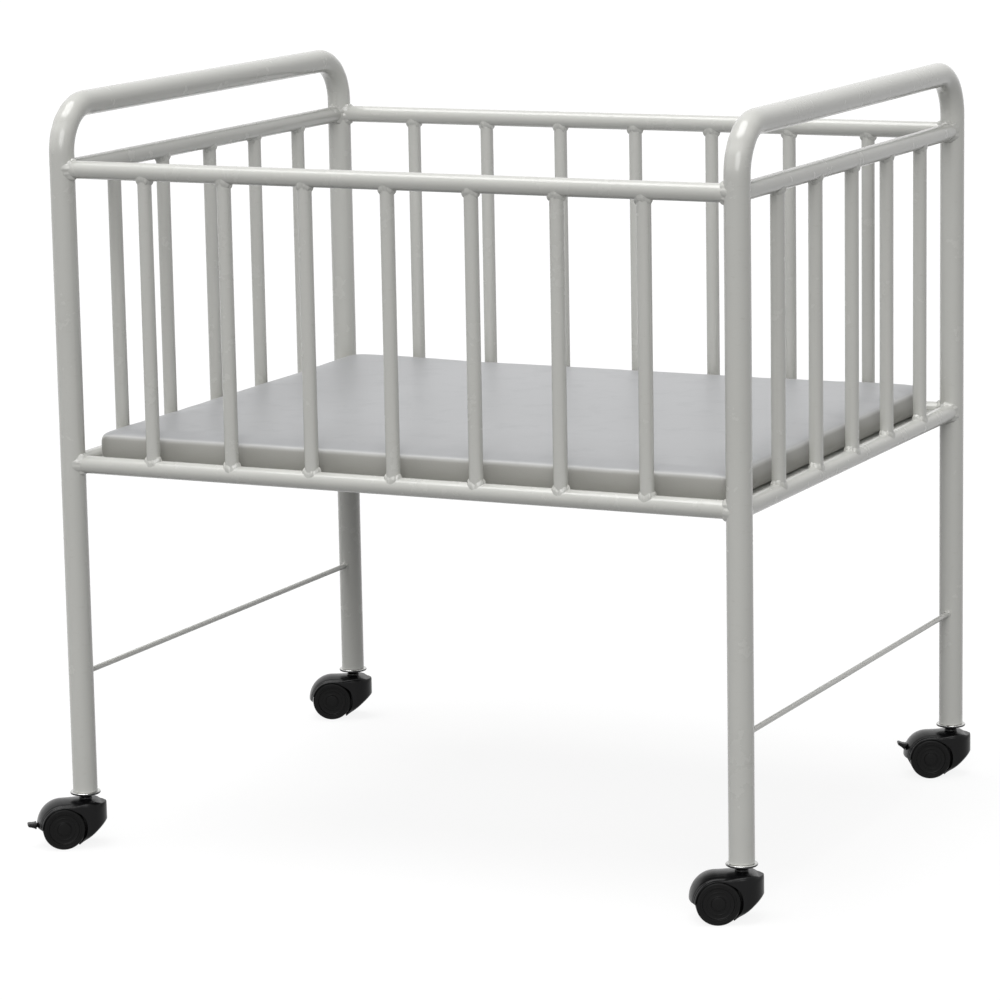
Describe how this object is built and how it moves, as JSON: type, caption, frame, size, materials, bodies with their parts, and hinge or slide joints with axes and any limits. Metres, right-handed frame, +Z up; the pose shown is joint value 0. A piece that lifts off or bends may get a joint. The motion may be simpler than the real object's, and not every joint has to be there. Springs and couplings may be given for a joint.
{
  "type": "hospital bassinet",
  "caption": "Open tubular-steel bassinet: bent hoop ends with push handles, barred sides, a thin mattress on a low deck, and hooded swivel castors with brake levers.",
  "frame": {"origin": "on the floor, under the middle of the whole object, castors included", "axes": "+X along the long side, from the left end to the right end; -Y towards the front; +Z up"},
  "size_m": [0.8534, 0.7054, 0.8182],
  "materials": {
    "frame_enamel": "gloss baked enamel, pale warm grey",
    "deck_sheet": "gloss baked enamel, pale grey",
    "mattress_cover": "smooth wipe-down vinyl-coated cover, pale lavender grey",
    "castor_plastic": "semi-gloss black moulding",
    "castor_wheel": "satin black",
    "castor_steel": "bright zinc plate"
  },
  "bodies": {
    "frame": {"left_end_hoop": "frame_enamel", "left_upper_end_rail": "frame_enamel", "left_lower_end_rail": "frame_enamel", "left_stretcher": "frame_enamel", "left_end_bar_1": "frame_enamel", "left_end_bar_2": "frame_enamel", "left_end_bar_3": "frame_enamel", "left_end_bar_4": "frame_enamel", "left_end_bar_5": "frame_enamel", "right_end_hoop": "frame_enamel", "right_upper_end_rail": "frame_enamel", "right_lower_end_rail": "frame_enamel", "right_stretcher": "frame_enamel", "right_end_bar_1": "frame_enamel", "right_end_bar_2": "frame_enamel", "right_end_bar_3": "frame_enamel", "right_end_bar_4": "frame_enamel", "right_end_bar_5": "frame_enamel", "front_upper_side_rail": "frame_enamel", "front_lower_side_rail": "frame_enamel", "front_side_bar_1": "frame_enamel", "front_side_bar_2": "frame_enamel", "front_side_bar_3": "frame_enamel", "front_side_bar_4": "frame_enamel", "front_side_bar_5": "frame_enamel", "front_side_bar_6": "frame_enamel", "front_side_bar_7": "frame_enamel", "back_upper_side_rail": "frame_enamel", "back_lower_side_rail": "frame_enamel", "back_side_bar_1": "frame_enamel", "back_side_bar_2": "frame_enamel", "back_side_bar_3": "frame_enamel", "back_side_bar_4": "frame_enamel", "back_side_bar_5": "frame_enamel", "back_side_bar_6": "frame_enamel", "back_side_bar_7": "frame_enamel", "mattress_deck": "deck_sheet", "front_left_castor_stem": "castor_steel", "front_right_castor_stem": "castor_steel", "back_left_castor_stem": "castor_steel", "back_right_castor_stem": "castor_steel"},
    "mattress": {"mattress": "mattress_cover"},
    "front_left_castor": {"front_left_castor_hood": "castor_plastic", "front_left_castor_axle": "castor_steel"},
    "front_left_left_wheel": {"front_left_castor_left_wheel": "castor_wheel"},
    "front_left_right_wheel": {"front_left_castor_right_wheel": "castor_wheel"},
    "front_left_lever": {"front_left_brake_lever": "castor_plastic"},
    "front_right_castor": {"front_right_castor_hood": "castor_plastic", "front_right_castor_axle": "castor_steel"},
    "front_right_left_wheel": {"front_right_castor_left_wheel": "castor_wheel"},
    "front_right_right_wheel": {"front_right_castor_right_wheel": "castor_wheel"},
    "back_left_castor": {"back_left_castor_hood": "castor_plastic", "back_left_castor_axle": "castor_steel"},
    "back_left_left_wheel": {"back_left_castor_left_wheel": "castor_wheel"},
    "back_left_right_wheel": {"back_left_castor_right_wheel": "castor_wheel"},
    "back_right_castor": {"back_right_castor_hood": "castor_plastic", "back_right_castor_axle": "castor_steel"},
    "back_right_left_wheel": {"back_right_castor_left_wheel": "castor_wheel"},
    "back_right_right_wheel": {"back_right_castor_right_wheel": "castor_wheel"},
    "back_right_lever": {"back_right_brake_lever": "castor_plastic"}
  },
  "joints": [
    {"name": "mattress_lift", "type": "slide", "parent": "frame", "child": "mattress", "axis": [0, 0, 1], "range_m": [0, 0.4]},
    {"name": "front_left_swivel", "type": "hinge", "parent": "frame", "child": "front_left_castor", "pos_m": [-0.36781, -0.30183, 0.051], "axis": [0, 0, 1], "continuous": true},
    {"name": "front_left_left_roll", "type": "hinge", "parent": "front_left_castor", "child": "front_left_left_wheel", "pos_m": [-0.38884, -0.31711, 0.023], "axis": [-0.5878, 0.809, 0], "continuous": true},
    {"name": "front_left_right_roll", "type": "hinge", "parent": "front_left_castor", "child": "front_left_right_wheel", "pos_m": [-0.38884, -0.31711, 0.023], "axis": [-0.5878, 0.809, 0], "continuous": true},
    {"name": "front_left_brake", "type": "hinge", "parent": "front_left_castor", "child": "front_left_lever", "pos_m": [-0.38884, -0.31711, 0.023], "axis": [-0.5878, 0.809, 0], "range_deg": [0, 20]},
    {"name": "front_right_swivel", "type": "hinge", "parent": "frame", "child": "front_right_castor", "pos_m": [0.40419, -0.30183, 0.051], "axis": [0, 0, 1], "continuous": true},
    {"name": "front_right_left_roll", "type": "hinge", "parent": "front_right_castor", "child": "front_right_left_wheel", "pos_m": [0.38123, -0.31404, 0.023], "axis": [-0.4695, 0.8829, 0], "continuous": true},
    {"name": "front_right_right_roll", "type": "hinge", "parent": "front_right_castor", "child": "front_right_right_wheel", "pos_m": [0.38123, -0.31404, 0.023], "axis": [-0.4695, 0.8829, 0], "continuous": true},
    {"name": "back_left_swivel", "type": "hinge", "parent": "frame", "child": "back_left_castor", "pos_m": [-0.36781, 0.33017, 0.051], "axis": [0, 0, 1], "continuous": true},
    {"name": "back_left_left_roll", "type": "hinge", "parent": "back_left_castor", "child": "back_left_left_wheel", "pos_m": [-0.39118, 0.31877, 0.023], "axis": [-0.4384, 0.8988, 0], "continuous": true},
    {"name": "back_left_right_roll", "type": "hinge", "parent": "back_left_castor", "child": "back_left_right_wheel", "pos_m": [-0.39118, 0.31877, 0.023], "axis": [-0.4384, 0.8988, 0], "continuous": true},
    {"name": "back_right_swivel", "type": "hinge", "parent": "frame", "child": "back_right_castor", "pos_m": [0.40419, 0.33017, 0.051], "axis": [0, 0, 1], "continuous": true},
    {"name": "back_right_left_roll", "type": "hinge", "parent": "back_right_castor", "child": "back_right_left_wheel", "pos_m": [0.38123, 0.31796, 0.023], "axis": [-0.4695, 0.8829, 0], "continuous": true},
    {"name": "back_right_right_roll", "type": "hinge", "parent": "back_right_castor", "child": "back_right_right_wheel", "pos_m": [0.38123, 0.31796, 0.023], "axis": [-0.4695, 0.8829, 0], "continuous": true},
    {"name": "back_right_brake", "type": "hinge", "parent": "back_right_castor", "child": "back_right_lever", "pos_m": [0.38123, 0.31796, 0.023], "axis": [-0.4695, 0.8829, 0], "range_deg": [-20, 0]}
  ]
}
